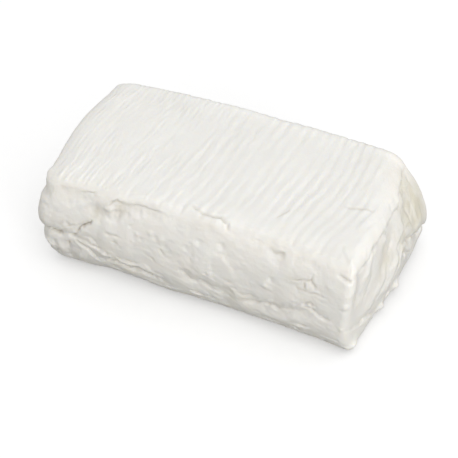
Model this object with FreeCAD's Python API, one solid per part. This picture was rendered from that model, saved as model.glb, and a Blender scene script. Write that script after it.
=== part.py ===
import FreeCAD, Part
import math
import os

# A block of stracchino: soft white cheese turned out of an oblong mould, with the lines of the
# draining mat across its top, creased sides that have sagged and swollen, and a flat foot.
# Millimetres. X runs along the block, the front long side faces -Y, Z is up, and the origin is
# on the surface that it rests on, under the middle of the whole block.

# The mould.
LENGTH = 168.0
WIDTH = 89.5
HEIGHT = 61.8
END_ROUNDING = 12.8     # of the upright corners, measured along X
SIDE_ROUNDING = 5.2     # of the upright corners, measured along Y
CRISP_ROUNDING = 4.5    # of the one sharp upright corner, at the front of the right end
TOP_ROUNDING = 5.2
FOOT_ROUNDING = 5.2
# Where the sharp corner's rounding takes over, as shares of half the block towards it.
CRISP_ALONG = (0.2, 0.8)
CRISP_ACROSS = (-0.3, 0.6)

# How the block has settled since. Each side: how far its top edge leans in, how far its middle
# swells out, how far its foot spreads.
SETTLED_SIDES = {
    "front": (3.1, 5.5, -1.6),
    "right": (4.4, 7.5, 3.0),
    "back": (5.7, 0.4, 0.0),
    "left": (-0.3, 3.3, -1.0),
}
RIGHT_SWELL_BACK = 0.8          # how much more the right end swells at its back than its middle
# Each corner, by the signs of X and Y: how far it is drawn in along X and along Y, and how far
# the top drops towards it.
SETTLED_CORNERS = {
    (-1, -1): (2.9, -1.6, 1.5),
    (1, -1): (3.6, -1.7, -2.4),
    (1, 1): (1.8, 0.3, -0.5),
    (-1, 1): (4.4, 3.1, 1.6),
}
CORNER_START = (0.45, 0.10)     # where a corner's pull starts, as shares of half the block
TOP_CROWN = 1.2
LEFT_SKEW = 0.03                # how far each end is slewed, as a slope across the block
RIGHT_SKEW = 0.05
RIGHT_TOP_SKEW = -0.20

# Lines that the draining mat left on the top.
LINE_PITCH = 5.5
LINE_DEPTH = 0.5
LINE_SLANT = 0.125              # how far a line leans towards +X as it goes back
LINE_BOW = 0.001                # how fast that lean falls off towards the back
LINE_FADE = 9.0                 # from the front and end edges of the top to the full depth
LINE_WANDER = 0.22              # of a pitch
WANDER_ALONG = 17.0             # how fast the wander changes along and across the block
WANDER_ACROSS = 13.0
WANDER_DRIFT = 41.0
WANDER_START = 1.3
# Places where the mat left no lines: X and Y of the middle and the two radii, as shares of half
# the block.
SMOOTH_PATCHES = (
    (0.05, 0.05, 0.14, 0.40),
    (0.30, 0.62, 0.20, 0.36),
    (-0.62, 0.10, 0.16, 0.34),
    (0.92, -0.62, 0.30, 0.40),
)

# Height over which the folds come in from the foot.
FOLD_START = 3.0

# Pole counts of the surface patches.
POLES_LONG = 186
POLES_DEEP = 32
POLES_HIGH = 20


def front(along, up):
    """A place on the front: shares of half the length and of the height."""
    return (along, -1.0, up)


def right(along, up):
    return (1.0, along, up)


def left(along, up):
    return (-1.0, along, up)


def back(along, up):
    return (along, 1.0, up)


def top(along, across):
    return (along, across, 1.0)


# Folds and dents that run along a line of places: width, depth (a ridge is negative), places.
FOLDS = (
    # The overlap where the block slumped at its left end, from the left end round to the front.
    (3.0, 2.2, (left(0.30, 0.46), left(-0.35, 0.42), front(-0.98, 0.44), front(-0.74, 0.47))),
    (2.6, 1.6, (front(-0.74, 0.47), front(-0.67, 0.62), front(-0.60, 0.68))),
    # The shoulder below the front edge of the top.
    (2.6, 0.9, (front(-0.74, 0.93), front(-0.60, 0.97), front(-0.46, 0.96))),
    (2.8, 1.2, (front(-0.45, 0.80), front(-0.33, 0.88), front(-0.20, 0.93), front(-0.02, 0.93))),
    # The long fold above the tucked foot.
    (2.4, 1.0, (front(-0.70, 0.42), front(-0.46, 0.32), front(-0.20, 0.33))),
    (2.0, 1.1, (front(-0.03, 0.47), front(0.08, 0.43), front(0.16, 0.40))),
    (1.8, 1.0, (front(0.30, 0.49), front(0.40, 0.44))),
    (2.2, 0.9, (front(0.20, 0.70), front(0.27, 0.58), front(0.28, 0.40))),
    (2.0, 0.9, (front(0.54, 0.41), front(0.66, 0.43), front(0.80, 0.46))),
    # Creases of the right end below the lip of the top.
    (2.4, 1.8, (right(0.78, 0.90), right(0.42, 0.86), right(0.10, 0.80), right(-0.12, 0.86))),
    (2.2, 1.6, (right(-0.16, 0.84), right(-0.42, 0.82), right(-0.76, 0.82))),
    (2.0, 1.6, (right(0.86, 0.32), right(0.52, 0.38), right(0.14, 0.52), right(-0.02, 0.44))),
    (2.6, 1.2, (right(0.10, 0.60), right(-0.20, 0.58), right(-0.50, 0.40), right(-0.78, 0.20))),
    # The undercut just above the foot.
    (4.0, 1.6, (front(-0.92, 0.08), front(-0.30, 0.09), front(0.30, 0.08), front(0.90, 0.09))),
    (3.4, 1.2, (right(-0.80, 0.08), right(0.10, 0.10), right(0.80, 0.08))),
    # Plain finish of the far sides.
    (2.6, 1.2, (back(0.85, 0.62), back(0.45, 0.68), back(0.10, 0.60), back(-0.25, 0.66))),
    (2.4, 1.0, (back(0.55, 0.30), back(0.10, 0.36), back(-0.40, 0.30), back(-0.80, 0.38))),
    # The straight crease across the top near its right end.
    (1.0, 0.4, (top(0.79, -0.14), top(0.95, -0.05))),
)


def smooth_step(value, low, high):
    share = min(max((value - low) / (high - low), 0.0), 1.0)
    return share * share * (3.0 - 2.0 * share)


def place_on_cube(side, along, up):
    """A place of the side patches, whose corners lie at -1 and 1, going round from the front."""
    return {
        "top": (along, up, 1.0),
        "front": (along, -1.0, up),
        "right": (1.0, along, up),
        "back": (-along, 1.0, up),
        "left": (-1.0, -along, up),
    }[side]


def moulded(cube):
    """The point of the rounded mould for a place on the cube, and the way out of the cheese."""
    halves = (LENGTH / 2, WIDTH / 2, HEIGHT / 2)
    upright = TOP_ROUNDING if cube[2] > 0 else FOOT_ROUNDING
    crisp = smooth_step(cube[0], *CRISP_ALONG) * smooth_step(-cube[1], *CRISP_ACROSS)
    roundings = (
        END_ROUNDING + (CRISP_ROUNDING - END_ROUNDING) * crisp,
        SIDE_ROUNDING + (CRISP_ROUNDING - SIDE_ROUNDING) * crisp,
        upright,
    )
    cores = []
    ways = []
    for share, half, rounding in zip(cube, halves, roundings):
        core = min(max(share * half, rounding - half), half - rounding)
        cores.append(core)
        ways.append((share * half - core) / rounding)
    if cube[2] > 0:
        size = math.hypot(*ways)
        way = [part / size for part in ways]
    else:
        # Below the middle the side turns right round under the block, to the edge of the foot.
        size = math.hypot(ways[0], ways[1])
        turn = ways[2] * math.pi / 2
        way = [ways[0] / size * math.cos(turn), ways[1] / size * math.cos(turn), math.sin(turn)]
    point = [core + part * rounding for core, part, rounding in zip(cores, way, roundings)]
    point[2] += HEIGHT / 2
    return point, way


def distance_to_line(point, places):
    """From a point of the mould to a line of places, both on the mould's surface."""
    nearest = math.inf
    scale = (LENGTH / 2, WIDTH / 2, HEIGHT)
    stops = [[share * size for share, size in zip(place, scale)] for place in places]
    for start, end in zip(stops, stops[1:]):
        run = [b - a for a, b in zip(start, end)]
        reach = [b - a for a, b in zip(start, point)]
        share = sum(a * b for a, b in zip(run, reach)) / sum(a * a for a in run)
        share = min(max(share, 0.0), 1.0)
        gap = [b - share * a for a, b in zip(run, reach)]
        nearest = min(nearest, math.hypot(*gap))
    return nearest


def fold_depth(point):
    """How deep the folds and dents lie at a point of the mould."""
    depth = 0.0
    for width, deepest, places in FOLDS:
        share = distance_to_line(point, places) / width
        depth += deepest * math.exp(-share * share)
    return depth


def line_depth(point):
    """How deep the mat's lines lie at a point of the top."""
    x, y, z = point
    strength = smooth_step(z, HEIGHT - TOP_ROUNDING, HEIGHT - TOP_ROUNDING / 3)
    strength *= smooth_step(y + WIDTH / 2, 0.0, LINE_FADE)
    strength *= smooth_step(LENGTH / 2 - abs(x), 0.0, LINE_FADE)
    for patch_x, patch_y, radius_x, radius_y in SMOOTH_PATCHES:
        off_x = (x / (LENGTH / 2) - patch_x) / radius_x
        off_y = (y / (WIDTH / 2) - patch_y) / radius_y
        strength *= 1.0 - math.exp(-off_x * off_x - off_y * off_y)
    wander = LINE_WANDER * math.sin(x / WANDER_ALONG + WANDER_START)
    wander *= math.sin(y / WANDER_ACROSS + x / WANDER_DRIFT)
    # The lines keep their own lean, whatever the block is skewed by.
    lean = LINE_SLANT - LINE_BOW * y - skew(x / (LENGTH / 2), 1.0)
    turns = (x - lean * y) / LINE_PITCH + wander
    return LINE_DEPTH * strength * (0.5 - 0.5 * math.cos(2 * math.pi * turns))


def skew(share_x, share_z):
    """How far the settled block is slewed towards +X for each mm across it."""
    towards_right = min(max(0.5 + share_x / 2, 0.0), 1.0)
    ends = LEFT_SKEW * (1 - towards_right) + RIGHT_SKEW * towards_right
    return ends + RIGHT_TOP_SKEW * max(share_x, 0.0) * share_z


def settled(point):
    """Where a point of the mould lies once the block has sagged."""
    x, y, z = point
    share_x = x / (LENGTH / 2)
    share_y = y / (WIDTH / 2)
    share_z = z / HEIGHT

    def outward(side, more=0.0):
        lean, belly, spread = SETTLED_SIDES[side]
        swell = belly * (1 + more) * 4 * share_z * (1 - share_z)
        return swell - lean * share_z + spread * (1 - share_z) ** 4

    x += max(share_x, 0.0) ** 2 * outward("right", RIGHT_SWELL_BACK * share_y)
    x -= max(-share_x, 0.0) ** 2 * outward("left")
    y += max(share_y, 0.0) ** 2 * outward("back") - max(-share_y, 0.0) ** 2 * outward("front")
    z += TOP_CROWN * (1 - share_x ** 2) * (1 - share_y ** 2) * share_z
    x += y * skew(share_x, share_z)
    for (sign_x, sign_y), (draw_x, draw_y, drop) in SETTLED_CORNERS.items():
        pull = smooth_step(sign_x * share_x, CORNER_START[0], 1.0)
        pull *= smooth_step(sign_y * share_y, CORNER_START[1], 1.0)
        x -= sign_x * pull * draw_x
        y -= sign_y * pull * draw_y
        z -= (1 + sign_x * share_x) / 2 * (1 + sign_y * share_y) / 2 * drop * share_z
    return FreeCAD.Vector(x, y, z)


def surface_point(cube):
    point, way = moulded(cube)
    depth = fold_depth(point) * smooth_step(point[2], 0.0, FOLD_START) + line_depth(point)
    carved = [at - depth * part for at, part in zip(point, way)]
    if cube[2] <= -1.0:
        carved[2] = 0.0
    return settled(carved)


def shares(count):
    return [-1.0 + 2.0 * index / (count - 1) for index in range(count)]


def patch(side, count_along, count_up):
    """A smooth surface through its own part of the block, drawn to a net of poles."""
    poles = []
    for along in shares(count_along):
        poles.append([surface_point(place_on_cube(side, along, up)) for up in shares(count_up)])
    degree = 3

    def knots(count):
        spans = count - degree
        repeats = [degree + 1] + [1] * (spans - 1) + [degree + 1]
        return [span / spans for span in range(spans + 1)], repeats

    knots_along, repeats_along = knots(count_along)
    knots_up, repeats_up = knots(count_up)
    surface = Part.BSplineSurface()
    surface.buildFromPolesMultsKnots(
        poles, repeats_along, repeats_up, knots_along, knots_up, False, False, degree, degree
    )
    return surface


def cheese():
    """The whole block: a top, four sides and the flat foot that closes them."""
    surfaces = [patch("top", POLES_LONG, POLES_DEEP)]
    rims = []
    for side in ("front", "right", "back", "left"):
        count = POLES_LONG if side in ("front", "back") else POLES_DEEP
        surface = patch(side, count, POLES_HIGH)
        surfaces.append(surface)
        rims.append(surface.vIso(0.0).toShape())
    faces = [surface.toShape() for surface in surfaces]
    foot = Part.Face(Part.Wire(Part.__sortEdges__(rims)))
    faces.append(foot)
    shell = Part.makeShell(faces)
    shell.sewShape()
    solid = Part.makeSolid(shell)
    if solid.Volume < 0:
        solid.reverse()
    middle = solid.optimalBoundingBox(False, False).Center
    solid.translate(FreeCAD.Vector(-middle.x, -middle.y, 0))
    return solid


os.makedirs("parts", exist_ok=True)
cheese().exportStep("parts/stracchino.step")
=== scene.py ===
import math

import bmesh
import bpy
import numpy as np
from mathutils import Matrix, Vector, noise


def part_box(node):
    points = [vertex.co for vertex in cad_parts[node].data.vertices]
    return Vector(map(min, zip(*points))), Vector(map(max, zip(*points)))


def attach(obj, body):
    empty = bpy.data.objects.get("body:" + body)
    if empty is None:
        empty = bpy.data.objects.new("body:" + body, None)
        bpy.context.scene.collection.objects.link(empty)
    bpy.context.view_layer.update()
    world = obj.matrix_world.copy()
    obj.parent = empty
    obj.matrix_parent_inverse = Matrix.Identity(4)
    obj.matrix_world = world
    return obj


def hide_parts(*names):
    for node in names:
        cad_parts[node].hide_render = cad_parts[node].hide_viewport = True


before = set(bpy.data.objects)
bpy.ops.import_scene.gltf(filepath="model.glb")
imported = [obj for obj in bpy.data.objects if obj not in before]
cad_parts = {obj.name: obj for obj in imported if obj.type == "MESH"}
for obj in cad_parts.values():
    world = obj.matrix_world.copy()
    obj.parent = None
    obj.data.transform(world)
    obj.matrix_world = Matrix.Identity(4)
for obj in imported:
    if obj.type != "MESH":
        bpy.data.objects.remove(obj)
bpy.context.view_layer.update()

# A block of stracchino on a pale table. Shape sizes are in millimetres and made into metres where
# the mesh is built; everything is worked out from the box of the cheese in the frame.
NODE = "stracchino"
MM = 0.001
LOW = np.array(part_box(NODE)[0]) / MM
HIGH = np.array(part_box(NODE)[1]) / MM
WHOLE = HIGH - LOW

# The mould, as shares of the whole block that came out of it and sagged, and how round its edges
# are: those of its ends, its long sides, its crisp front right corner, its top and its foot.
LENGTH = 0.9362 * WHOLE[0]
WIDTH = 0.9461 * WHOLE[1]
HEIGHT = 0.9661 * WHOLE[2]
HALVES = np.array((LENGTH / 2, WIDTH / 2, HEIGHT / 2))
END_ROUNDING = 12.8
SIDE_ROUNDING = 5.2
CRISP_ROUNDING = 4.5
TOP_ROUNDING = 5.2
FOOT_ROUNDING = 5.2
# Where the roundings turn into the crisp corner's, as shares along the block and towards the front.
CRISP_ALONG = (0.2, 0.8)
CRISP_TO_FRONT = (-0.3, 0.6)

# How the block has settled: for each side how far its top leans in, its middle swells out and its
# foot spreads.
SETTLED_SIDES = {
    "front": (3.1, 5.5, -1.6),
    "right": (4.4, 7.5, 3.0),
    "back": (5.7, 0.4, 0.0),
    "left": (-0.3, 3.3, -1.0),
}
# The right end swells more towards the back by this share.
RIGHT_SWELL_BACK = 0.8
# For each corner, by the signs of X and Y: how far it is drawn in along X and Y, and how far the
# top drops.
SETTLED_CORNERS = {
    (-1, -1): (2.9, -1.6, 1.5),
    (1, -1): (3.6, -1.7, -2.4),
    (1, 1): (1.8, 0.3, -0.5),
    (-1, 1): (4.4, 3.1, 1.6),
}
# From where along and across the block a corner is drawn in.
CORNER_START = (0.45, 0.10)
# How high the top is crowned, and how far the ends slew towards +X for each mm across.
TOP_CROWN = 1.2
LEFT_SKEW = 0.03
RIGHT_SKEW = 0.05
RIGHT_TOP_SKEW = -0.20

# The gap left inside the box, and the band next to it that may be pressed in.
BOX_MARGIN = 0.05
PRESS_BAND = 15.0

# Mesh cells along, across and up the block, and how near, in metres, two points count as one.
CELLS = (256, 112, 84)
WELD = 1e-6


# ---------------------------------------------------------------- places on the block

def front(along, up):
    """A place on the front: shares of half the length and of the height."""
    return (along, -1.0, up)


def right(along, up):
    return (1.0, along, up)


def left(along, up):
    return (-1.0, along, up)


def back(along, up):
    return (along, 1.0, up)


def top(along, across):
    return (along, across, 1.0)


# ---------------------------------------------------------------- marks in the cheese

# Lines that the draining mat pressed into the top: from one to the next, how deep, and how much
# narrower than a plain wave.
LINE_PITCH = 5.5
LINE_DEPTH = 0.46
LINE_NARROWING = 1.4
# How far a line leans towards +X as it goes back, and how fast that lean falls off.
LINE_SLANT = 0.125
LINE_BOW = 0.001
# How far lines sway, as a share of the pitch, over which distances and from where, and how far
# they wander by chance.
LINE_SWAY = 0.22
SWAY_LENGTHS = (17.0, 13.0, 41.0)
SWAY_START = 1.3
LINE_WANDER = 0.10
# The lines die away over this distance at the ends and the front of the top. Down its rounding
# they are full as far as the first share of it and gone at the second.
LINE_FADE = 4.0
LINE_FULL = 1.0 / 6.0
LINE_GONE = 0.8
# Finer lines, where the mat lay loose at the left: their share of the pitch, how deep, how much
# more they wander, from where to where towards the left end they come in, how much of them there
# is elsewhere, and how much of the wide lines goes where they come in.
FINE_SHARE = 0.5
FINE_DEPTH = 0.30
FINE_WANDER = 1.5
FINE_ALONG = (-0.2, 0.4)
FINE_LEAST = 0.15
WIDE_LOSS = 0.75
# Threads of the mat between its lines: how deep, how strong the broad ones are beside the thin
# ones, and how much deeper they lie at the left.
THREAD_DEPTH = 0.17
BROAD_THREADS = 0.6
THREAD_GAIN = 0.4
# By how much the lines are smoothed away, and where: shares along and across the top, and radii
# in the same shares.
SMOOTHED = 0.8
SMOOTH_PATCHES = (
    (0.15, 0.02, 0.10, 0.36),
    (0.45, 0.45, 0.20, 0.34),
    (-0.68, 0.10, 0.11, 0.26),
    (0.90, -0.70, 0.26, 0.42),
    (0.30, -0.78, 0.30, 0.22),
    (-0.30, 0.10, 0.06, 0.25),
)

# Wide soft hollows (a swelling is negative): radius, depth, places.
HOLLOWS = (
    # The shoulder under the front edge of the top, and the left end's pocket below it.
    (4.0, 1.5, (front(-0.92, 0.91), front(-0.82, 0.89), front(-0.72, 0.89), front(-0.66, 0.93))),
    (3.6, 1.5, (front(-0.66, 0.86), front(-0.61, 0.78), front(-0.53, 0.78))),
    (3.2, 1.9, (front(-0.54, 0.76), front(-0.44, 0.87), front(-0.36, 0.92), front(-0.20, 0.93))),
    (6.0, 0.5, (front(-0.22, 0.93), front(0.02, 0.94), front(0.34, 0.95))),
    (4.5, 1.0, (front(0.34, 0.94), front(0.43, 0.90), front(0.50, 0.91))),
    # The swollen lobe at the left end and the slump under it.
    (7.0, 1.7, (left(-0.70, 1.0), front(-0.98, 1.0), front(-0.70, 1.0), front(-0.46, 1.0))),
    (5.0, 1.0, (front(-0.60, 1.0), front(-0.20, 1.0), front(0.30, 1.0), front(0.70, 1.0))),
    (8.0, 1.6, (front(0.40, 1.0), front(0.80, 1.0), front(0.98, 1.0), right(-0.80, 1.0))),
    (3.6, 1.6, (left(-0.40, 0.84), left(-0.90, 0.84), front(-0.93, 0.84))),
    (8.0, -1.7, (left(-0.45, 0.60), front(-0.99, 0.62), front(-0.88, 0.64))),
    (4.2, 1.9, (left(-0.20, 0.42), front(-0.97, 0.43), front(-0.86, 0.45), front(-0.78, 0.46))),
    (6.0, -0.7, (left(-0.50, 0.28), front(-0.96, 0.30), front(-0.86, 0.27))),
    (2.6, -0.9, (front(-0.94, 0.34), front(-0.95, 0.16))),
    (2.6, -0.9, (front(-0.86, 0.34), front(-0.87, 0.16))),
    (3.5, 0.9, (front(-0.80, 0.40), front(-0.82, 0.28), front(-0.83, 0.12))),
    (5.0, -0.8, (front(-0.76, 0.25), front(-0.70, 0.22))),
    # Swellings of the middle of the front.
    (9.0, -0.9, (front(-0.58, 0.62), front(-0.36, 0.60))),
    (8.0, -0.7, (front(0.02, 0.60), front(0.14, 0.62))),
    (9.0, -0.6, (front(0.52, 0.80), front(0.80, 0.84))),
    (6.0, 0.5, (front(-0.20, 0.70), front(-0.12, 0.50))),
    # The band over the tucked foot.
    (4.0, 1.2, (front(-0.66, 0.30), front(-0.44, 0.26), front(-0.29, 0.25), front(-0.14, 0.24))),
    (3.6, -0.7, (front(-0.60, 0.36), front(-0.40, 0.35), front(-0.20, 0.30))),
    (4.0, 1.1, (front(-0.08, 0.40), front(0.10, 0.34), front(0.22, 0.36))),
    (3.2, 0.8, (front(0.21, 0.44), front(0.22, 0.28), front(0.23, 0.12))),
    (4.2, 1.1, (front(0.30, 0.30), front(0.46, 0.32), front(0.62, 0.40), front(0.80, 0.46))),
    (4.0, -0.5, (front(0.40, 0.20), front(0.66, 0.26), front(0.86, 0.30))),
    (3.4, 0.8, (front(0.50, 0.10), front(0.62, 0.14), front(0.70, 0.22))),
    # The right end: the overhanging lip of the top, and the hollows under it.
    (3.0, -0.6, (right(0.80, 0.90), right(0.40, 0.90), right(-0.10, 0.88), right(-0.60, 0.90))),
    (5.0, 1.6, (right(0.66, 0.82), right(0.52, 0.72), right(0.36, 0.66))),
    (5.0, 1.3, (right(0.10, 0.76), right(-0.20, 0.68), right(-0.40, 0.56))),
    (4.5, 1.0, (right(-0.76, 0.84), right(-0.84, 0.70), right(-0.84, 0.52))),
    (6.0, -1.3, (right(0.70, 0.46), right(0.50, 0.50))),
    (5.0, -1.2, (right(0.02, 0.50), right(-0.18, 0.38), right(-0.36, 0.28))),
    (4.0, -0.9, (right(-0.40, 0.46), right(-0.56, 0.36), right(-0.62, 0.26))),
    (3.4, 1.3, (right(0.96, 0.22), right(0.66, 0.30), right(0.31, 0.46), right(0.12, 0.54))),
    # The far edge of the top, bowed a little outwards, and the far sides.
    (7.0, -1.5, (back(-0.40, 1.0), back(0.30, 1.0), back(1.0, 1.0))),
    (5.0, 1.1, (back(0.85, 0.62), back(0.45, 0.68), back(0.10, 0.60), back(-0.25, 0.66))),
    (5.0, 1.0, (back(0.55, 0.30), back(0.10, 0.36), back(-0.40, 0.30), back(-0.80, 0.38))),
    (5.0, 0.9, (left(0.90, 0.70), left(0.60, 0.60), left(0.30, 0.52))),
)
# Folds: width, depth, how far the right-hand side of the line stands higher than the left (seen
# from outside), and the places that each runs through.
FOLDS = (
    (1.4, 1.4, 0.6, (left(0.55, 0.66), left(0.10, 0.56), left(-0.35, 0.49), left(-0.95, 0.43))),
    (1.2, 2.7, 0.5, (left(-0.70, 0.43), front(-0.97, 0.44), front(-0.86, 0.455), front(-0.74, 0.465))),
    (1.1, 2.3, 0.6, (front(-0.80, 0.44), front(-0.73, 0.52), front(-0.69, 0.61), front(-0.62, 0.70))),
    (0.8, 0.8, 0.3, (front(-0.86, 0.54), front(-0.81, 0.61), front(-0.74, 0.62), front(-0.67, 0.66))),
    (0.9, 1.3, -0.5, (front(-0.75, 0.86), front(-0.69, 0.94), front(-0.64, 0.97), front(-0.54, 0.98))),
    (1.0, 1.2, -0.5, (front(-0.57, 0.86), front(-0.49, 0.93), front(-0.44, 0.90), front(-0.38, 0.93))),
    (0.9, 0.8, -0.4, (front(-0.40, 0.92), front(-0.32, 0.96), front(-0.25, 0.93), front(-0.14, 0.93))),
    (1.3, 1.0, -0.4, (front(0.33, 0.95), front(0.41, 0.92), front(0.46, 0.90), front(0.54, 0.91))),
    (1.1, 0.7, 0.3, (front(-0.76, 0.47), front(-0.69, 0.49), front(-0.63, 0.51), front(-0.57, 0.47))),
    (1.0, 1.3, 0.4, (front(-0.74, 0.46), front(-0.69, 0.38), front(-0.64, 0.28), front(-0.58, 0.20))),
    (1.0, 1.1, 0.4, (front(-0.75, 0.48), front(-0.66, 0.46), front(-0.58, 0.43), front(-0.46, 0.32))),
    (1.0, 0.6, 0.3, (front(-0.60, 0.39), front(-0.43, 0.37), front(-0.27, 0.38), front(-0.14, 0.26))),
    (1.1, 0.8, 0.5, (front(-0.60, 0.28), front(-0.44, 0.25), front(-0.29, 0.24), front(-0.13, 0.21))),
    (0.8, 0.5, 0.2, (front(-0.40, 0.32), front(-0.26, 0.31), front(-0.16, 0.34))),
    (1.0, 0.7, 0.3, (left(-0.95, 0.36), front(-0.88, 0.30), front(-0.88, 0.12))),
    (0.9, 1.4, 0.3, (front(-0.79, 0.42), front(-0.80, 0.30), front(-0.83, 0.14))),
    (0.8, 0.8, 0.2, (front(-0.90, 0.36), front(-0.90, 0.26), front(-0.92, 0.12))),
    (1.1, 1.0, 0.5, (front(-0.07, 0.43), front(0.01, 0.38), front(0.08, 0.36), front(0.12, 0.33))),
    (1.0, 0.6, 0.4, (front(0.24, 0.45), front(0.30, 0.39), front(0.38, 0.38), front(0.52, 0.45))),
    (1.1, 1.0, 0.5, (front(0.32, 0.28), front(0.45, 0.33), front(0.54, 0.36), front(0.62, 0.40))),
    (0.9, 0.8, 0.4, (front(0.66, 0.47), front(0.74, 0.54), front(0.81, 0.51))),
    (0.9, 0.7, 0.3, (front(0.69, 0.48), front(0.80, 0.45), front(0.88, 0.42))),
    (0.8, 0.6, 0.3, (front(0.52, 0.20), front(0.68, 0.26), front(0.84, 0.26))),
    (0.9, 0.8, 0.4, (front(0.44, 0.16), front(0.54, 0.13), front(0.63, 0.17), front(0.70, 0.13))),
    (0.9, 0.7, 0.4, (front(-0.34, 0.17), front(-0.20, 0.14), front(-0.08, 0.17))),
    (0.9, 0.7, 0.4, (front(-0.02, 0.22), front(0.08, 0.18), front(0.17, 0.21))),
    (0.9, 0.7, 0.3, (front(-0.66, 0.14), front(-0.54, 0.17), front(-0.42, 0.13))),
    (1.6, 0.2, 0.7, (front(0.12, 0.76), front(0.18, 0.75), front(0.23, 0.67), front(0.26, 0.58))),
    (1.2, 1.5, 0.9, (right(0.84, 0.89), right(0.50, 0.88), right(0.25, 0.85), right(0.06, 0.83))),
    (1.1, 1.2, 0.8, (right(0.08, 0.83), right(-0.12, 0.84), right(-0.25, 0.87), right(-0.47, 0.90))),
    (1.1, 1.0, 0.7, (right(-0.46, 0.91), right(-0.62, 0.85), right(-0.79, 0.87), right(-0.96, 0.90))),
    (1.2, 1.5, 0.7, (right(0.96, 0.20), right(0.65, 0.31), right(0.31, 0.47), right(0.12, 0.54))),
    (1.2, 2.0, 0.8, (right(0.62, 0.16), right(0.40, 0.24), right(0.28, 0.35), right(0.11, 0.44))),
    (1.0, 0.8, -0.4, (right(0.12, 0.54), right(0.02, 0.46), right(-0.05, 0.35), right(-0.20, 0.26))),
    (1.0, 0.7, 0.3, (right(0.00, 0.70), right(-0.10, 0.67), right(-0.22, 0.63))),
    (1.0, 1.3, 0.7, (right(-0.95, 0.33), right(-0.82, 0.28), right(-0.64, 0.21), right(-0.42, 0.12))),
    (0.8, 0.5, 0.3, (right(0.80, 0.86), right(0.64, 0.70), right(0.40, 0.60), right(0.20, 0.62))),
    (0.8, 0.5, 0.3, (right(0.66, 0.88), right(0.48, 0.76), right(0.28, 0.70))),
    (1.2, 0.4, 0.2, (right(-0.50, 0.84), right(-0.58, 0.66), right(-0.72, 0.44))),
    (0.9, 0.5, 0.3, (right(-0.22, 0.56), right(-0.34, 0.40), right(-0.50, 0.32))),
    (1.0, 1.2, 0.6, (right(0.30, 0.78), right(0.22, 0.62), right(0.02, 0.56), right(-0.06, 0.44))),
    (0.9, 0.7, 0.4, (right(0.50, 0.86), right(0.42, 0.66), right(0.46, 0.52))),
    (1.4, 0.8, 0.5, (back(0.85, 0.60), back(0.45, 0.66), back(0.10, 0.58), back(-0.25, 0.64))),
    (1.4, 0.7, 0.5, (back(0.55, 0.28), back(0.10, 0.34), back(-0.40, 0.28), back(-0.80, 0.36))),
)
# Narrow cracks with slightly raised lips: width, depth, places.
CRACKS = (
    (0.6, 0.5, (front(-0.54, 0.62), front(-0.50, 0.63), front(-0.45, 0.63))),
    (0.6, 0.4, (front(-0.49, 0.56), front(-0.45, 0.54))),
    (0.6, 0.4, (front(-0.84, 0.56), front(-0.76, 0.60), front(-0.69, 0.63))),
    (0.6, 0.5, (front(0.61, 0.73), front(0.69, 0.75), front(0.73, 0.77), front(0.735, 0.83))),
    (0.7, 0.6, (front(0.73, 0.77), front(0.76, 0.74), front(0.77, 0.70))),
    (0.6, 0.5, (front(0.69, 0.75), front(0.70, 0.69))),
    (0.6, 0.25, (front(0.60, 0.69), front(0.66, 0.66), front(0.72, 0.67))),
    (0.6, 0.35, (front(0.72, 0.65), front(0.77, 0.66), front(0.83, 0.65))),
    (0.8, 0.9, (front(0.89, 0.90), front(0.94, 0.88), right(-0.98, 0.85))),
    (0.7, 0.7, (top(-0.06, -0.82), top(0.01, -0.88), top(0.07, -0.90), top(0.15, -0.86))),
    (0.7, 1.0, (top(0.09, -0.89), top(0.14, -0.87), top(0.18, -0.92), front(0.19, 0.95))),
    (0.6, 0.35, (top(0.77, -0.21), top(0.87, -0.16), top(0.97, -0.10))),
    (0.5, 0.30, (top(0.42, -0.66), top(0.47, -0.45))),
    (0.6, 0.5, (front(-0.19, 0.62), front(-0.16, 0.55))),
    (0.6, 0.4, (front(-0.30, 0.53), front(-0.24, 0.49), front(-0.20, 0.44))),
)
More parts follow.
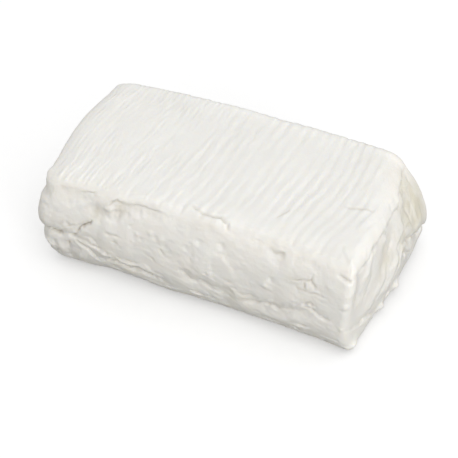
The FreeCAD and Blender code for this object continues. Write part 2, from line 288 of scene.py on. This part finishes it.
# Dents (a lump is negative): radius, depth, place. The first makes the far right corner crisp.
DENTS = (
    (4.5, -2.4, (0.97, 0.93, 1.0)),
    (1.2, 0.4, front(-0.79, 0.81)),
    (1.2, 0.4, front(-0.75, 0.82)),
    (2.4, -1.0, front(-0.53, 0.85)),
    (1.2, 0.7, front(-0.53, 0.76)),
    (1.3, 0.6, front(-0.41, 0.83)),
    (1.8, -0.5, front(-0.36, 0.85)),
    (1.3, 0.4, front(-0.29, 0.88)),
    (1.6, -0.5, front(-0.25, 0.76)),
    (1.3, 0.5, front(-0.22, 0.72)),
    (1.6, -0.5, front(-0.18, 0.72)),
    (1.2, 0.4, front(-0.16, 0.66)),
    (1.4, 0.6, front(0.05, 0.79)),
    (1.8, -0.3, front(0.02, 0.76)),
    (1.2, 0.4, front(-0.03, 0.71)),
    (1.4, 0.6, front(0.18, 0.82)),
    (1.5, -0.25, front(0.19, 0.77)),
    (0.7, 0.6, front(0.10, 0.51)),
    (1.4, 0.8, front(0.48, 0.66)),
    (1.7, -0.7, front(0.45, 0.58)),
    (1.5, -0.4, front(0.72, 0.71)),
    (1.1, -0.5, front(-0.48, 0.80)),
    (1.0, 0.5, front(-0.50, 0.83)),
    (1.1, -0.5, front(-0.33, 0.70)),
    (0.9, 0.5, front(-0.31, 0.66)),
    (1.0, -0.4, front(-0.36, 0.62)),
    (0.9, 0.5, front(-0.38, 0.76)),
    (1.2, 0.8, front(0.27, 0.43)),
    (3.0, -1.2, front(0.05, 0.985)),
    (3.0, -1.4, front(0.12, 0.985)),
    (2.6, -1.2, left(-0.80, 0.93)),
    (2.6, -2.1, right(0.03, 0.11)),
    (1.8, 1.4, right(-0.15, 0.12)),
    (2.4, -2.0, right(-0.30, 0.10)),
    (1.2, 0.8, right(-0.48, 0.86)),
    (2.2, -0.9, right(-0.20, 0.80)),
    (2.0, -0.8, right(0.30, 0.88)),
    (1.6, 0.8, right(0.12, 0.90)),
    (2.4, -0.8, right(-0.66, 0.74)),
    (2.0, -0.8, right(0.44, 0.40)),
    (2.4, -1.8, right(-0.88, 0.10)),
    (2.6, -1.6, right(-0.98, 0.06)),
    (1.5, -0.6, front(0.97, 0.62)),
    (1.3, -0.5, front(0.97, 0.36)),
)
# Where whey has yellowed the hollows, with shade painted into them as a darker yellow-brown: radius,
# amount, place.
WHEY_AND_SHADE = (
    (11.0, 1.2, right(0.62, 0.66)),
    (6.0, 0.8, right(0.34, 0.70)),
    (7.0, 0.4, right(-0.26, 0.62)),
    (6.0, 0.4, right(0.16, 0.56)),
    (3.0, 0.5, front(-0.61, 0.77)),
    (2.5, 0.5, front(-0.46, 0.86)),
    (4.0, 0.3, front(-0.70, 0.46)),
    (7.0, 0.2, front(-0.40, 0.30)),
    (3.0, 0.3, front(0.62, 0.72)),
    (6.0, 0.2, front(0.30, 0.36)),
)

# Unevenness: how the seed of each kind shifts it, and the factor that brings it to between about
# -1 and 1.
SEED_SHIFT = (17.3, 5.9, 11.7)
UNEVEN_GAIN = 1.6
# The pushes that keep folds from running dead straight, a broad and a fine one: how far, the size
# of their lumps, and their seeds. Cracks and dents take only a share of them.
BROAD_PUSH = (1.3, 7.0, (3, 4, 5))
FINE_PUSH = (0.5, 2.4, (11, 12, 13))
NUDGE_SHARE = 0.4
# Over which shares of its length a fold, hollow or crack comes in and dies away, and how close to
# its line one side turns into the other.
RUN_START = (-0.1, 0.25)
RUN_END = (0.75, 1.1)
SIDE_BLEND = 0.3
# A fold's bank reaches this many widths, and a groove this deep counts as a full crease for the
# painted shade.
BANK_REACH = 3.0
FULL_CREASE_SHADE = 1.4
# How much painted crease shade each mm of a hollow makes, and each crack.
HOLLOW_CREASE_SHADE = 0.12
CRACK_CREASE_SHADE = 0.7
# A crack's lip: its height as a share of the crack's depth, and how many widths off it stands.
LIP_HEIGHT = 0.2
LIP_PLACE = 2.2

# Small dents strewn over the upright sides, from a little above the foot; about one in three is a
# lump. Each is reckoned out to a few times its radius.
POCK_SEED = 7
POCK_COUNT = 260
POCK_RADIUS = (0.7, 1.6)
POCK_DEPTH = (0.06, 0.36)
POCK_SIGNS = (1.0, 1.0, -0.7)
POCK_STRETCH_ALONG = (0.5, 1.0)
POCK_STRETCH_UP = (1.0, 1.6)
POCK_LOWEST = 4.0
POCK_STEEPEST = 0.5
POCK_REACH = 4.0

# Soft waves and lumps of the whole surface, the share of them that the flat top keeps, and how
# far below the top they come in.
WAVE_HEIGHT = 0.50
LUMP_HEIGHT = 0.16
TOP_LUMPS = 0.30
SIDE_START = 4.0
# Fine wrinkles: how high, how they slant and are drawn out, how sharp they are, how much weaker
# on the ends, and how much stronger near the foot.
WRINKLE_HEIGHT = 0.16
WRINKLE_SLANT = 0.30
WRINKLE_STRETCH = (0.35, 0.6, 1.0)
WRINKLE_SHARPNESS = 3.0
WRINKLE_END_LOSS = 0.5
WRINKLE_FOOT_GAIN = 1.6
WRINKLE_FOOT = (6.0, 24.0)

# How much the whey stains and their painted shade are drawn out upwards, and the most that they
# colour.
WHEY_AND_SHADE_STRETCH = (1.0, 1.0, 0.8)
WHEY_AND_SHADE_MOST = 0.8

# The relief comes in over this height above the foot. The foot's outline wavers by this much,
# and the foot of the front is tucked in over a height.
RELIEF_START = 3.0
FOOT_WAVER = 0.8
WAVER_HEIGHTS = (4.0, 24.0)
FOOT_TUCK = 2.4
TUCK_HEIGHT = 18.0
# Keeps a division from having nothing to divide by.
TINY = 1e-9


# ---------------------------------------------------------------- shaping the block

def smooth_step(value, low, high):
    share = np.clip((value - low) / (high - low), 0.0, 1.0)
    return share * share * (3.0 - 2.0 * share)


def lattice():
    """Corners of the cells over the top and sides of a cube, shared where two sides meet, and
    the quads between them; the rim of the foot comes as its own ring of corners."""
    numbers = {}
    quads = []
    nx, ny, nz = CELLS

    def corner(key):
        return numbers.setdefault(key, len(numbers))

    def sheet(place, count_along, count_up):
        for i in range(count_along):
            for j in range(count_up):
                steps = ((i, j), (i + 1, j), (i + 1, j + 1), (i, j + 1))
                quads.append([corner(place(*step)) for step in steps])

    sheet(lambda i, j: (i, j, nz), nx, ny)
    sheet(lambda i, j: (i, 0, j), nx, nz)
    sheet(lambda i, j: (nx, i, j), ny, nz)
    sheet(lambda i, j: (nx - i, ny, j), nx, nz)
    sheet(lambda i, j: (0, ny - i, j), ny, nz)
    ring = [(i, 0, 0) for i in range(nx)] + [(nx, j, 0) for j in range(ny)]
    ring += [(nx - i, ny, 0) for i in range(nx)] + [(0, ny - j, 0) for j in range(ny)]
    foot = [corner(key) for key in reversed(ring)]
    cube = np.array(list(numbers)) / np.array(CELLS) * 2.0 - 1.0
    return cube, quads, foot


def moulded(cube):
    """Points of the rounded mould for corners on the cube, and the way out of the cheese."""
    upper = cube[:, 2] > 0
    upright = np.where(upper, TOP_ROUNDING, FOOT_ROUNDING)
    crisp = smooth_step(cube[:, 0], *CRISP_ALONG) * smooth_step(-cube[:, 1], *CRISP_TO_FRONT)
    end = END_ROUNDING + (CRISP_ROUNDING - END_ROUNDING) * crisp
    side = SIDE_ROUNDING + (CRISP_ROUNDING - SIDE_ROUNDING) * crisp
    roundings = np.stack([end, side, upright], -1)
    core = np.clip(cube * HALVES, roundings - HALVES, HALVES - roundings)
    way = (cube * HALVES - core) / roundings
    # The upper edges are rounded as part of a ball, the foot's by turning the side's way under.
    level = way / np.linalg.norm(way[:, :2] + TINY, axis=1)[:, None]
    turn = way[:, 2] * math.pi / 2
    under = np.stack([level[:, 0] * np.cos(turn), level[:, 1] * np.cos(turn), np.sin(turn)], -1)
    over = way / np.linalg.norm(way, axis=1)[:, None]
    way = np.where(upper[:, None], over, under)
    point = core + way * roundings
    point[:, 2] += HEIGHT / 2
    return point, way


def on_mould(place):
    """A place, or several, in millimetres on the mould."""
    return np.array(place) * (LENGTH / 2, WIDTH / 2, HEIGHT)


def along_line(points, way, places):
    """From points of the mould to a line of places on its surface: the distance, which side each
    point is on (1 is right of the line, seen from outside) and how strongly the line is there,
    as it dies away at both ends."""
    stops = on_mould(places)
    lengths = np.linalg.norm(stops[1:] - stops[:-1], axis=1)
    nearest = np.full(len(points), np.inf)
    side = np.zeros(len(points))
    gone = np.zeros(len(points))
    for start, end, before in zip(stops[:-1], stops[1:], np.cumsum(lengths) - lengths):
        run = end - start
        size = np.linalg.norm(run)
        share = np.clip((points - start) @ run / size ** 2, 0.0, 1.0)
        gap = points - start - share[:, None] * run
        distance = np.linalg.norm(gap, axis=1)
        closer = distance < nearest
        nearest = np.where(closer, distance, nearest)
        across = np.sum(gap * np.cross(run / size, way), axis=1)
        side = np.where(closer, across / (distance + SIDE_BLEND), side)
        gone = np.where(closer, before + share * size, gone)
    gone /= lengths.sum()
    strength = smooth_step(gone, *RUN_START) * (1.0 - smooth_step(gone, *RUN_END))
    return nearest, side, strength


def around(points, place, radius, stretch=1.0):
    """How near points are to a place on the mould: 1 there, dying away over the radius."""
    share = np.linalg.norm((points - on_mould(place)) * stretch, axis=1) / radius
    return np.exp(-share ** 2)


def uneven(points, size, seed):
    """Smooth unevenness between about -1 and 1 with lumps of the given size."""
    shift = Vector([seed * step for step in SEED_SHIFT])
    return np.array([noise.noise(Vector(point) / size + shift) for point in points]) * UNEVEN_GAIN


def patchy(points, size, seed, mean, swing, least, most):
    """A strength that comes and goes over the surface in patches of the given size."""
    return np.clip(mean + swing * uneven(points, size, seed), least, most)


def push(points, amount, size, seeds):
    """How points are pushed about, so that what is laid along them doesn't run dead straight."""
    return amount * np.stack([uneven(points, size, seed) for seed in seeds], -1)


def mat_lines(points):
    """How deep the mat's lines lie, waving and fading as they cross the top."""
    x, y, z = points.T
    share_x, share_y = x / (LENGTH / 2), y / (WIDTH / 2)
    strength = smooth_step(z, HEIGHT - LINE_GONE * TOP_ROUNDING, HEIGHT - LINE_FULL * TOP_ROUNDING)
    strength *= smooth_step(y + WIDTH / 2, 0.0, LINE_FADE)
    strength *= smooth_step(LENGTH / 2 - np.abs(x), 0.0, LINE_FADE)
    for patch_x, patch_y, radius_x, radius_y in SMOOTH_PATCHES:
        off_x = (share_x - patch_x) / radius_x
        off_y = (share_y - patch_y) / radius_y
        strength *= 1.0 - SMOOTHED * np.exp(-off_x * off_x - off_y * off_y)
    drawn_out = points * (1.6, 0.35, 1.0)
    strength *= patchy(drawn_out, size=7.0, seed=1, mean=0.85, swing=0.65, least=0.15, most=1.4)

    # The lines keep their own lean, whatever the block is skewed by.
    lean = LINE_SLANT - LINE_BOW * y - skew(share_x, 1.0)
    across = x - lean * y
    sway = np.sin(x / SWAY_LENGTHS[0] + SWAY_START)
    sway = sway * np.sin(y / SWAY_LENGTHS[1] + x / SWAY_LENGTHS[2])
    wander = LINE_SWAY * sway + LINE_WANDER * uneven(points, size=9.0, seed=2)
    turns = across / LINE_PITCH + wander
    wide = 0.5 - 0.5 * np.cos(2 * math.pi * turns)
    fine = 0.5 - 0.5 * np.cos(2 * math.pi * (turns / FINE_SHARE + FINE_WANDER * wander))
    broken = points * (1.0, 0.5, 1.0)
    fine *= patchy(broken, size=6.0, seed=18, mean=0.7, swing=0.9, least=0.0, most=1.5)

    # Towards the left end the fine lines show more than the wide ones.
    loose = smooth_step(-share_x, *FINE_ALONG)
    depth = LINE_DEPTH * wide ** LINE_NARROWING * (1.0 - WIDE_LOSS * loose)
    depth += FINE_DEPTH * fine * (FINE_LEAST + (1.0 - FINE_LEAST) * loose)
    laid = np.stack([across, y, z], -1)
    threads = uneven(laid * (1.0, 0.16, 0.3), size=1.5, seed=14)
    threads += BROAD_THREADS * uneven(laid * (1.0, 0.30, 0.3), size=3.0, seed=15)
    return strength * (depth + THREAD_DEPTH * threads * (1.0 + THREAD_GAIN * loose))


def pockmarks(points, way):
    """Small shallow dents strewn over the sides where curds met the mould."""
    random = np.random.default_rng(POCK_SEED)
    depth = np.zeros(len(points))
    steepness = np.abs(way[:, 2])
    upright = np.flatnonzero((steepness < POCK_STEEPEST) & (points[:, 2] > POCK_LOWEST))
    for middle in points[random.choice(upright, POCK_COUNT)]:
        radius = random.uniform(*POCK_RADIUS)
        deepest = random.uniform(*POCK_DEPTH) * random.choice(POCK_SIGNS)
        stretch = (random.uniform(*POCK_STRETCH_ALONG), 1.0, random.uniform(*POCK_STRETCH_UP))
        near = np.flatnonzero(np.abs(points - middle).max(1) < POCK_REACH * radius)
        share = np.linalg.norm((points[near] - middle) * stretch, axis=1) / radius
        depth[near] += deepest * np.exp(-share ** 2)
    return depth


def hollows(points, way):
    """How deep the wide soft hollows lie, and how much painted crease shade they make."""
    depth = np.zeros(len(points))
    crease_shade = np.zeros(len(points))
    for radius, deepest, places in HOLLOWS:
        distance, _, strength = along_line(points, way, places)
        hollow = strength * deepest * np.exp(-(distance / radius) ** 2)
        depth += hollow
        crease_shade += np.clip(HOLLOW_CREASE_SHADE * hollow, 0.0, 1.0)
    return depth, crease_shade


def folds(points, way, fading):
    """How deep the folds are, with one bank standing higher, and how much painted crease shade they
    make.
    """
    depth = np.zeros(len(points))
    crease_shade = np.zeros(len(points))
    for width, deepest, lift, places in FOLDS:
        distance, side, strength = along_line(points, way, places)
        share = distance / width
        groove = strength * fading * deepest * np.exp(-share ** 2)
        bank = strength * fading * lift * side * np.exp(-(share / BANK_REACH) ** 2)
        depth += groove - bank
        crease_shade = np.maximum(crease_shade, groove / FULL_CREASE_SHADE * np.exp(-share ** 2))
    return depth, crease_shade


def cracks(points, way):
    """How deep the cracks are between their lips, and how much painted crease shade they make."""
    depth = np.zeros(len(points))
    crease_shade = np.zeros(len(points))
    for width, deepest, places in CRACKS:
        distance, _, strength = along_line(points, way, places)
        share = distance / width
        lip = LIP_HEIGHT * np.exp(-(share - LIP_PLACE) ** 2)
        depth += strength * deepest * (np.exp(-share ** 2) - lip)
        crease_shade = np.maximum(crease_shade, CRACK_CREASE_SHADE * strength * np.exp(-share ** 2))
    return depth, crease_shade


def lumps_and_wrinkles(points, pushed, way, on_side, fading):
    """How high the soft lumps and the fine wrinkles of the surface stand."""
    height = WAVE_HEIGHT * uneven(points, size=24.0, seed=6)
    height += LUMP_HEIGHT * uneven(pushed, size=10.0, seed=7)
    height *= TOP_LUMPS + (1.0 - TOP_LUMPS) * on_side
    slanted = pushed.copy()
    slanted[:, 2] += WRINKLE_SLANT * points[:, 0]
    wrinkles = WRINKLE_SHARPNESS * np.abs(uneven(slanted * WRINKLE_STRETCH, size=3.2, seed=8))
    near_foot = 1.0 - smooth_step(points[:, 2], *WRINKLE_FOOT)
    finest = WRINKLE_HEIGHT * on_side * (1.0 - WRINKLE_END_LOSS * np.abs(way[:, 0]))
    finest *= 1.0 + WRINKLE_FOOT_GAIN * near_foot
    return height - finest * np.clip(1.0 - wrinkles, 0.0, 1.0) * fading


def whey_and_shade_marks(points):
    """How much whey has yellowed each point, with painted shade in the hollows where it lies."""
    whey_and_shade = np.zeros(len(points))
    for radius, amount, place in WHEY_AND_SHADE:
        whey_and_shade = np.maximum(whey_and_shade, amount * around(points, place, radius, WHEY_AND_SHADE_STRETCH))
    streaked = points * (1.0, 1.0, 0.5)
    whey_and_shade *= patchy(streaked, size=5.0, seed=17, mean=0.8, swing=0.5, least=0.3, most=1.2)
    return np.minimum(whey_and_shade, WHEY_AND_SHADE_MOST)


def relief(points, way):
    """How far the surface stands out of the mould, and the masks that colour each point: how deep in a
    crease it is, for painted shade there, how much of the sides' duller skin it has, and how much
    whey, with painted shade in the hollows where it lies."""
    pushed = points + push(points, *BROAD_PUSH) + push(points, *FINE_PUSH)
    nudged = points + NUDGE_SHARE * (pushed - points)
    fading = patchy(points, size=7.0, seed=9, mean=0.85, swing=0.7, least=0.15, most=1.7)
    hollow_depth, hollow_crease_shade = hollows(pushed, way)
    fold_depth, fold_crease_shade = folds(pushed, way, fading)
    crack_depth, crack_crease_shade = cracks(nudged, way)
    depth = hollow_depth + fold_depth + crack_depth
    for radius, deepest, place in DENTS:
        depth += deepest * around(nudged, place, radius)
    depth += pockmarks(points, way) + mat_lines(points)
    on_side = 1.0 - smooth_step(points[:, 2], HEIGHT - SIDE_START, HEIGHT)
    skin = on_side * patchy(points, size=14.0, seed=16, mean=0.6, swing=0.4, least=0.2, most=1.0)
    marks_and_shade = {
        # The crease mask sets where shade is painted down in the creases.
        "crease_shade": np.maximum(np.maximum(hollow_crease_shade, fold_crease_shade), crack_crease_shade),
        "skin": skin,
        # The whey mask sets whey stains, with painted shade in the hollows where they lie.
        "whey_and_shade": whey_and_shade_marks(pushed),
    }
    return lumps_and_wrinkles(points, pushed, way, on_side, fading) - depth, marks_and_shade


def skew(share_x, share_z):
    """How far the settled block is slewed towards +X for each mm across it."""
    towards_right = np.clip(0.5 + share_x / 2, 0.0, 1.0)
    ends = LEFT_SKEW * (1 - towards_right) + RIGHT_SKEW * towards_right
    return ends + RIGHT_TOP_SKEW * np.clip(share_x, 0.0, None) * share_z


def settled(points):
    """Where points of the mould lie once the block has sagged."""
    x, y, z = points.T
    share_x, share_y, share_z = x / (LENGTH / 2), y / (WIDTH / 2), z / HEIGHT

    def outward(side, more=0.0):
        lean, belly, spread = SETTLED_SIDES[side]
        swell = belly * (1 + more) * 4 * share_z * (1 - share_z)
        return swell - lean * share_z + spread * (1 - share_z) ** 4

    def part(share):
        return np.clip(share, 0.0, None) ** 2

    x = x + part(share_x) * outward("right", RIGHT_SWELL_BACK * share_y)
    x = x - part(-share_x) * outward("left")
    y = y + part(share_y) * outward("back") - part(-share_y) * outward("front")
    z = z + TOP_CROWN * (1 - share_x ** 2) * (1 - share_y ** 2) * share_z
    x = x + y * skew(share_x, share_z)
    for (sign_x, sign_y), (draw_x, draw_y, drop) in SETTLED_CORNERS.items():
        pull = smooth_step(sign_x * share_x, CORNER_START[0], 1.0)
        pull = pull * smooth_step(sign_y * share_y, CORNER_START[1], 1.0)
        x = x - sign_x * pull * draw_x
        y = y - sign_y * pull * draw_y
        z = z - (1 + sign_x * share_x) / 2 * (1 + sign_y * share_y) / 2 * drop * share_z
    return np.stack([x, y, z], -1)


def into_box(points, plain):
    """The carved block laid in the box of the frame by its plain shape. The outer band on each
    side but the foot is pressed in as far as needed for nothing to stand out of the box."""
    middle = (plain.min(0) + plain.max(0)) / 2
    middle[2] = 0.0
    placed = points - middle + (LOW + HIGH) / 2 * (1, 1, 0)
    for axis, sign in ((0, 1), (0, -1), (1, 1), (1, -1), (2, 1)):
        edge = (HIGH if sign > 0 else -LOW)[axis] - BOX_MARGIN
        inside = edge - sign * placed[:, axis]
        over = max(-inside.min(), 0.0)
        pressed = (inside + over) * PRESS_BAND / (PRESS_BAND + over)
        inside = np.where(inside < PRESS_BAND, pressed, inside)
        placed[:, axis] = sign * (edge - inside)
    return placed


def weld(mesh):
    """Joins the points at the corners of the foot that its rounding draws onto one place."""
    edit = bmesh.new()
    edit.from_mesh(mesh)
    bmesh.ops.remove_doubles(edit, verts=edit.verts, dist=WELD)
    edit.to_mesh(mesh)
    edit.free()


def cheese_block():
    """The block of cheese: the mould's points carved by the relief, settled and laid in its box."""
    cube, quads, foot = lattice()
    points, way = moulded(cube)
    out, marks_and_shade = relief(points, way)
    out *= smooth_step(points[:, 2], 0.0, RELIEF_START)
    carved = points + way * out[:, None]
    # The foot's outline wavers where the soft cheese spread, and is tucked in along the front.
    plan = way[:, :2] / (np.linalg.norm(way[:, :2], axis=1) + TINY)[:, None]
    waver = FOOT_WAVER * uneven(points, size=19.0, seed=10)
    waver *= 1.0 - smooth_step(points[:, 2], *WAVER_HEIGHTS)
    carved[:, :2] += plan * waver[:, None]
    tuck = FOOT_TUCK * np.clip(1.0 - points[:, 2] / TUCK_HEIGHT, 0.0, 1.0) ** 2
    carved[:, 1] += tuck * np.clip(-plan[:, 1], 0.0, 1.0)
    carved[foot, 2] = 0.0
    placed = into_box(settled(carved), settled(points))
    mesh = bpy.data.meshes.new("stracchino_block")
    mesh.from_pydata((placed * MM).tolist(), [], quads + [foot])
    for name, values in marks_and_shade.items():
        layer = mesh.attributes.new(name, "FLOAT", "POINT")
        layer.data.foreach_set("value", values.astype(np.float32))
    weld(mesh)
    mesh.shade_smooth()
    block = bpy.data.objects.new("stracchino_block", mesh)
    bpy.context.scene.collection.objects.link(block)
    return block


# ---------------------------------------------------------------- materials

MILK_CLOUDS = {
    "Milk": (0.86, 0.85, 0.815, 1),
    "Cloud": (0.80, 0.79, 0.75, 1),
    "Cloud Size": 55.0,
    "Amount": 0.5,
}
CURD_BUMP = {"Strength": 0.5, "Distance": 0.0003}
FRESH_CHEESE = {
    "Subsurface Weight": 0.25,
    "Subsurface Radius": (1.0, 0.85, 0.6),
    "Subsurface Scale": 0.003,
    "Roughness": 0.42,
    "Coat Weight": 0.12,
    "Coat Roughness": 0.3,
}
# How much each mask colours the cheese, and with what: the sides' skin, whey stains with painted shade
# in the hollows, and painted shade down in the creases.
MARK_AND_SHADE_TINTS = (
    ("skin", 0.8, (0.87, 0.84, 0.79)),
    # Partly whey stain, partly painted shade in the hollows.
    ("whey_and_shade", 0.90, (0.64, 0.60, 0.47)),
    # Painted shade: darker and warmer down in the creases.
    ("crease_shade", 0.62, (0.58, 0.52, 0.42)),
)


def fill_in(sockets, values):
    for name, value in values.items():
        sockets[name].default_value = value


def node(tree, kind, values=None, **facts):
    """A new node with the given facts and values on its input sockets."""
    made = tree.nodes.new("ShaderNode" + kind)
    for name, fact in facts.items():
        setattr(made, name, fact)
    fill_in(made.inputs, values or {})
    return made


def group(name, inputs, outputs):
    """An empty shader group with its sockets: kind, name and a starting value for each input."""
    tree = bpy.data.node_groups.new(name, "ShaderNodeTree")
    for kind, title, value in inputs:
        socket = tree.interface.new_socket(title, in_out="INPUT", socket_type=kind)
        socket.default_value = value
    for kind, title in outputs:
        tree.interface.new_socket(title, in_out="OUTPUT", socket_type=kind)
    return tree, tree.nodes.new("NodeGroupInput"), tree.nodes.new("NodeGroupOutput")


def milk_mottle():
    """Cloudy change from the plain milk colour to a second one."""
    tree, given, result = group(
        "milk_mottle",
        [
            ("NodeSocketColor", "Milk", (0.8, 0.8, 0.8, 1)),
            ("NodeSocketColor", "Cloud", (0.8, 0.8, 0.8, 1)),
            ("NodeSocketFloat", "Cloud Size", 60.0),
            ("NodeSocketFloat", "Amount", 0.5),
        ],
        [("NodeSocketColor", "Color")],
    )
    place = node(tree, "TexCoord")
    cloud = node(tree, "TexNoise", {"Detail": 4.0, "Roughness": 0.55})
    spread = node(tree, "MapRange", {"From Min": 0.35, "From Max": 0.65})
    share = node(tree, "Math", operation="MULTIPLY")
    mix = node(tree, "Mix", data_type="RGBA")
    tree.links.new(place.outputs["Object"], cloud.inputs["Vector"])
    tree.links.new(given.outputs["Cloud Size"], cloud.inputs["Scale"])
    tree.links.new(cloud.outputs["Fac"], spread.inputs["Value"])
    tree.links.new(spread.outputs["Result"], share.inputs[0])
    tree.links.new(given.outputs["Amount"], share.inputs[1])
    tree.links.new(share.outputs[0], mix.inputs["Factor"])
    tree.links.new(given.outputs["Milk"], mix.inputs["A"])
    tree.links.new(given.outputs["Cloud"], mix.inputs["B"])
    tree.links.new(mix.outputs["Result"], result.inputs["Color"])
    return tree


def curd_grain():
    """The fine unevenness of pressed curd, as a height in shares of its depth."""
    tree, given, result = group(
        "curd_grain",
        [
            ("NodeSocketFloat", "Grain Size", 900.0),
            ("NodeSocketFloat", "Pore Size", 300.0),
            ("NodeSocketFloat", "Pore Depth", 0.35),
        ],
        [("NodeSocketFloat", "Height")],
    )
    place = node(tree, "TexCoord")
    grain = node(tree, "TexNoise", {"Detail": 5.0, "Roughness": 0.6})
    pores = node(tree, "TexVoronoi", feature="SMOOTH_F1")
    add = node(tree, "Math", operation="MULTIPLY_ADD")
    tree.links.new(place.outputs["Object"], grain.inputs["Vector"])
    tree.links.new(place.outputs["Object"], pores.inputs["Vector"])
    tree.links.new(given.outputs["Grain Size"], grain.inputs["Scale"])
    tree.links.new(given.outputs["Pore Size"], pores.inputs["Scale"])
    tree.links.new(pores.outputs["Distance"], add.inputs[0])
    tree.links.new(given.outputs["Pore Depth"], add.inputs[1])
    tree.links.new(grain.outputs["Fac"], add.inputs[2])
    tree.links.new(add.outputs[0], result.inputs["Height"])
    return tree


def fresh_cheese(name, mottle, grain):
    """Moist white cheese, duller on its sides, yellowed by whey with painted shade in the hollows, and
    with painted warm shade down in its creases.
    """
    material = bpy.data.materials.new(name)
    material.use_nodes = True
    tree = material.node_tree
    shader = tree.nodes["Principled BSDF"]
    fill_in(shader.inputs, FRESH_CHEESE)
    clouds = node(tree, "Group", MILK_CLOUDS, node_tree=mottle)
    color = clouds.outputs["Color"]
    for mask_name, amount, tint in MARK_AND_SHADE_TINTS:
        place = node(tree, "Attribute", attribute_name=mask_name)
        strength = node(tree, "Math", {1: amount}, operation="MULTIPLY")
        mix = node(tree, "Mix", {"B": (*tint, 1)}, data_type="RGBA")
        tree.links.new(place.outputs["Fac"], strength.inputs[0])
        tree.links.new(strength.outputs[0], mix.inputs["Factor"])
        tree.links.new(color, mix.inputs["A"])
        color = mix.outputs["Result"]
    skin = node(tree, "Group", node_tree=grain)
    bump = node(tree, "Bump", CURD_BUMP)
    tree.links.new(color, shader.inputs["Base Color"])
    tree.links.new(skin.outputs["Height"], bump.inputs["Height"])
    tree.links.new(bump.outputs["Normal"], shader.inputs["Normal"])
    return material


# ---------------------------------------------------------------- camera, table and light

# The camera's turn, rise and roll in degrees, the point that it is aimed at, and how far off it is.
CAMERA_TURN = 24.1
CAMERA_RISE = 47.6
CAMERA_ROLL = -0.9
CAMERA_AIM = (0.0021, -0.0109, 0.0280)
CAMERA_DISTANCE = 0.886
LENS = 138.7
SENSOR_WIDTH = 36.0
# Half the table's side, its colour for the light and for the camera, and the glow that lifts what
# the camera sees of it to white.
TABLE_HALF = 6.0
TABLE_FOR_LIGHT = (0.27, 0.27, 0.25, 1)
TABLE_FOR_CAMERA = (0.80, 0.80, 0.80, 1)
TABLE_GLOW = 0.25
WHITE = (1, 1, 1, 1)
TABLE_FINISH = {"Roughness": 0.9, "Specular IOR Level": 0.1, "Emission Color": WHITE}
# Square lamps that face the block: place, side and power. The rest of the light is the world's.
LAMPS = {
    "key_lamp": ((0.4, -0.4, 1.7), 1.1, 5.0),
    "fill_lamp": ((1.16, -0.78, 0.20), 0.5, 7.4),
}
WORLD_STRENGTH = 0.84


def camera():
    """A long lens, looking down over the front long side from its right end."""
    turn, rise, roll = (math.radians(angle) for angle in (CAMERA_TURN, CAMERA_RISE, CAMERA_ROLL))
    backward = Vector((
        math.sin(turn) * math.cos(rise),
        -math.cos(turn) * math.cos(rise),
        math.sin(rise),
    ))
    across = backward.cross(Vector((0, 0, 1))).normalized() * -1
    upward = backward.cross(across)
    across, upward = (
        across * math.cos(roll) + upward * math.sin(roll),
        upward * math.cos(roll) - across * math.sin(roll),
    )
    data = bpy.data.cameras.new("camera")
    data.lens = LENS
    data.sensor_width = SENSOR_WIDTH
    seer = bpy.data.objects.new("camera", data)
    place = Vector(CAMERA_AIM) + backward * CAMERA_DISTANCE
    rotation = Matrix((across, upward, backward)).transposed()
    seer.matrix_world = Matrix.Translation(place) @ rotation.to_4x4()
    bpy.context.scene.collection.objects.link(seer)
    bpy.context.scene.camera = seer


def table():
    """A wide pale table; what the camera sees of it is lifted to white around the shadow."""
    mesh = bpy.data.meshes.new("table")
    corners = [(x * TABLE_HALF, y * TABLE_HALF, 0) for x, y in ((-1, -1), (1, -1), (1, 1), (-1, 1))]
    mesh.from_pydata(corners, [], [(0, 1, 2, 3)])
    slab = bpy.data.objects.new("table", mesh)
    bpy.context.scene.collection.objects.link(slab)
    material = bpy.data.materials.new("pale_table")
    material.use_nodes = True
    tree = material.node_tree
    shader = tree.nodes["Principled BSDF"]
    fill_in(shader.inputs, TABLE_FINISH)
    seen = node(tree, "LightPath")
    tone = node(tree, "Mix", {"A": TABLE_FOR_LIGHT, "B": TABLE_FOR_CAMERA}, data_type="RGBA")
    glow = node(tree, "Math", {1: TABLE_GLOW}, operation="MULTIPLY")
    tree.links.new(seen.outputs["Is Camera Ray"], tone.inputs["Factor"])
    tree.links.new(tone.outputs["Result"], shader.inputs["Base Color"])
    tree.links.new(seen.outputs["Is Camera Ray"], glow.inputs[0])
    tree.links.new(glow.outputs[0], shader.inputs["Emission Strength"])
    mesh.materials.append(material)


def studio():
    """The lamps, and a plain white world around them."""
    for name, (place, size, power) in LAMPS.items():
        data = bpy.data.lights.new(name, "AREA")
        data.shape = "SQUARE"
        data.size = size
        data.energy = power
        light = bpy.data.objects.new(name, data)
        light.location = place
        light.rotation_euler = (-Vector(place)).to_track_quat("-Z", "Y").to_euler()
        bpy.context.scene.collection.objects.link(light)
    world = bpy.data.worlds.new("studio")
    world.use_nodes = True
    fill_in(world.node_tree.nodes["Background"].inputs, {"Color": WHITE, "Strength": WORLD_STRENGTH})
    bpy.context.scene.world = world


camera()
bpy.context.scene.view_settings.view_transform = "Standard"
block = cheese_block()
block.data.materials.append(fresh_cheese("fresh_stracchino", milk_mottle(), curd_grain()))
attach(block, "root")
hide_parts(NODE)
table()
studio()
